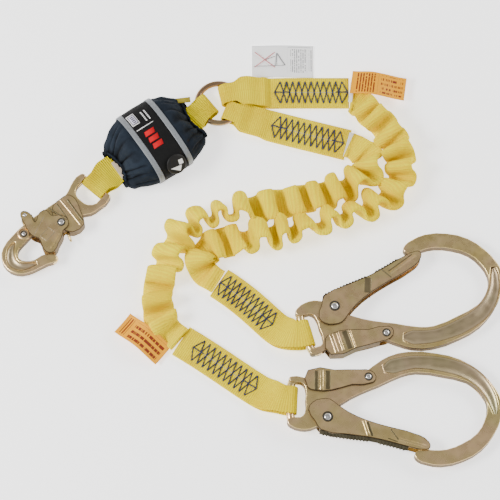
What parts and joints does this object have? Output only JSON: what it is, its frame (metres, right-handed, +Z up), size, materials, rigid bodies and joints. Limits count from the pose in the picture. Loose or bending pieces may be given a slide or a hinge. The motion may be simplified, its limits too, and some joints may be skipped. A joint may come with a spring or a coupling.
{
  "type": "shock absorbing lanyard",
  "caption": "Twin-leg fall lanyard laid flat: snap hook, gathered absorber pack, ring, two elastic webbing legs and wide-throat rebar hooks with locking gates.",
  "frame": {"origin": "middle of the laid-out lanyard's plan, on the surface it lies on", "axes": "+Z up from the surface; +X from the snap hook towards the rebar hooks; +Y from the rebar hooks towards the ring"},
  "size_m": [0.5284, 0.4749, 0.0443],
  "materials": {
    "zinc_steel": "yellow zinc plated, satin with a faint iridescence",
    "rivet_steel": "bright plated",
    "yellow_webbing": "tight polyester weave, satin",
    "elastic_webbing": "gathered polyester weave, matte",
    "elastic_rubber": "matte",
    "navy_fabric": "gathered nylon, matte",
    "black_fabric": "coated nylon, matte",
    "reflective_tape": "glass-bead tape, satin",
    "navy_thread": "bonded thread, satin",
    "beige_webbing": "woven, matte",
    "black_plastic": "moulded, satin",
    "white_label": "printed film, satin",
    "orange_label": "printed film, satin"
  },
  "bodies": {
    "lanyard": {"absorber_cover": "navy_fabric", "absorber_centre_band": "black_fabric", "reflective_stripe_snap_side": "reflective_tape", "reflective_stripe_ring_side": "reflective_tape", "elastic_hem_snap_side": "navy_fabric", "elastic_hem_ring_side": "navy_fabric", "tear_webbing_pack": "yellow_webbing", "inspection_disc": "black_plastic", "absorber_loop_snap_side": "yellow_webbing", "absorber_loop_ring_side": "yellow_webbing", "absorber_wear_pad": "beige_webbing", "leg_a_ring_end": "yellow_webbing", "leg_a_ring_stitching": "navy_thread", "leg_a_sleeve": "elastic_webbing", "leg_a_core": "elastic_rubber", "leg_a_hook_end": "yellow_webbing", "leg_a_hook_stitching": "navy_thread", "leg_b_ring_end": "yellow_webbing", "leg_b_ring_stitching": "navy_thread", "leg_b_sleeve": "elastic_webbing", "leg_b_core": "elastic_rubber", "leg_b_hook_end": "yellow_webbing", "leg_b_hook_stitching": "navy_thread", "care_label": "white_label", "orange_label_a": "orange_label", "orange_label_b": "orange_label"},
    "ring": {"connector_ring": "zinc_steel"},
    "snap_hook": {"snap_hook_body": "zinc_steel", "snap_gate_rivet": "rivet_steel", "snap_gate_spring": "rivet_steel", "snap_lock_spring": "rivet_steel", "snap_stop_rivet": "rivet_steel"},
    "snap_gate_arm": {"snap_gate": "zinc_steel"},
    "snap_lock_arm": {"snap_lock_lever": "zinc_steel"},
    "rebar_hook_a": {"rebar_a_body": "zinc_steel", "rebar_a_gate_rivet": "rivet_steel", "rebar_a_gate_spring": "rivet_steel", "rebar_a_lock_rivet": "rivet_steel", "rebar_a_lock_spring": "rivet_steel"},
    "rebar_gate_a": {"rebar_a_gate": "zinc_steel"},
    "rebar_lock_a": {"rebar_a_lock_lever": "zinc_steel"},
    "rebar_hook_b": {"rebar_b_body": "zinc_steel", "rebar_b_gate_rivet": "rivet_steel", "rebar_b_gate_spring": "rivet_steel", "rebar_b_lock_rivet": "rivet_steel", "rebar_b_lock_spring": "rivet_steel"},
    "rebar_gate_b": {"rebar_b_gate": "zinc_steel"},
    "rebar_lock_b": {"rebar_b_lock_lever": "zinc_steel"}
  },
  "joints": [
    {"name": "ring_spin", "type": "hinge", "parent": "lanyard", "child": "ring", "pos_m": [-0.0362, 0.16675, 0.0084], "axis": [0, 0, 1], "continuous": true},
    {"name": "snap_swing", "type": "hinge", "parent": "lanyard", "child": "snap_hook", "pos_m": [-0.1702, 0.07175, 0.01], "axis": [-0.757, 0.6534, 0], "range_deg": [0, 85]},
    {"name": "snap_gate_open", "type": "hinge", "parent": "snap_hook", "child": "snap_gate_arm", "pos_m": [-0.2016, 0.02619, 0.01], "axis": [0, 0, -1], "range_deg": [0, 40], "stiffness_Nm_per_rad": 0.3, "springref_deg": -14.32},
    {"name": "snap_lock_squeeze", "type": "hinge", "parent": "snap_hook", "child": "snap_lock_arm", "pos_m": [-0.2016, 0.02619, 0.01], "axis": [0, 0, 1], "range_deg": [0, 8]},
    {"name": "rebar_a_swing", "type": "hinge", "parent": "lanyard", "child": "rebar_hook_a", "pos_m": [0.0558, -0.09725, 0.0123], "axis": [0.309, -0.9511, 0], "range_deg": [0, 85]},
    {"name": "rebar_a_gate_open", "type": "hinge", "parent": "rebar_hook_a", "child": "rebar_gate_a", "pos_m": [0.08605, -0.06744, 0.01112], "axis": [-0.0295, -0.0096, -0.9995], "range_deg": [0, 38], "stiffness_Nm_per_rad": 0.3, "springref_deg": -14.32},
    {"name": "rebar_a_lock_squeeze", "type": "hinge", "parent": "rebar_hook_a", "child": "rebar_lock_a", "pos_m": [0.13957, -0.09632, 0.00982], "axis": [-0.0295, -0.0096, -0.9995], "range_deg": [0, 5]},
    {"name": "rebar_b_swing", "type": "hinge", "parent": "lanyard", "child": "rebar_hook_b", "pos_m": [0.0398, -0.16775, 0.0123], "axis": [-0.0174, -0.9998, 0], "range_deg": [0, 85]},
    {"name": "rebar_b_gate_open", "type": "hinge", "parent": "rebar_hook_b", "child": "rebar_gate_b", "pos_m": [0.07744, -0.18741, 0.01112], "axis": [0.031, -0.0005, 0.9995], "range_deg": [0, 38], "stiffness_Nm_per_rad": 0.3, "springref_deg": -14.32},
    {"name": "rebar_b_lock_squeeze", "type": "hinge", "parent": "rebar_hook_b", "child": "rebar_lock_b", "pos_m": [0.12019, -0.14415, 0.00982], "axis": [0.031, -0.0005, 0.9995], "range_deg": [0, 5]}
  ],
  "couplings": [
    {"joint": "snap_lock_squeeze", "follows": "snap_gate_open", "ratio": 0.2},
    {"joint": "rebar_a_lock_squeeze", "follows": "rebar_a_gate_open", "ratio": 0.125},
    {"joint": "rebar_b_lock_squeeze", "follows": "rebar_b_gate_open", "ratio": 0.125}
  ]
}
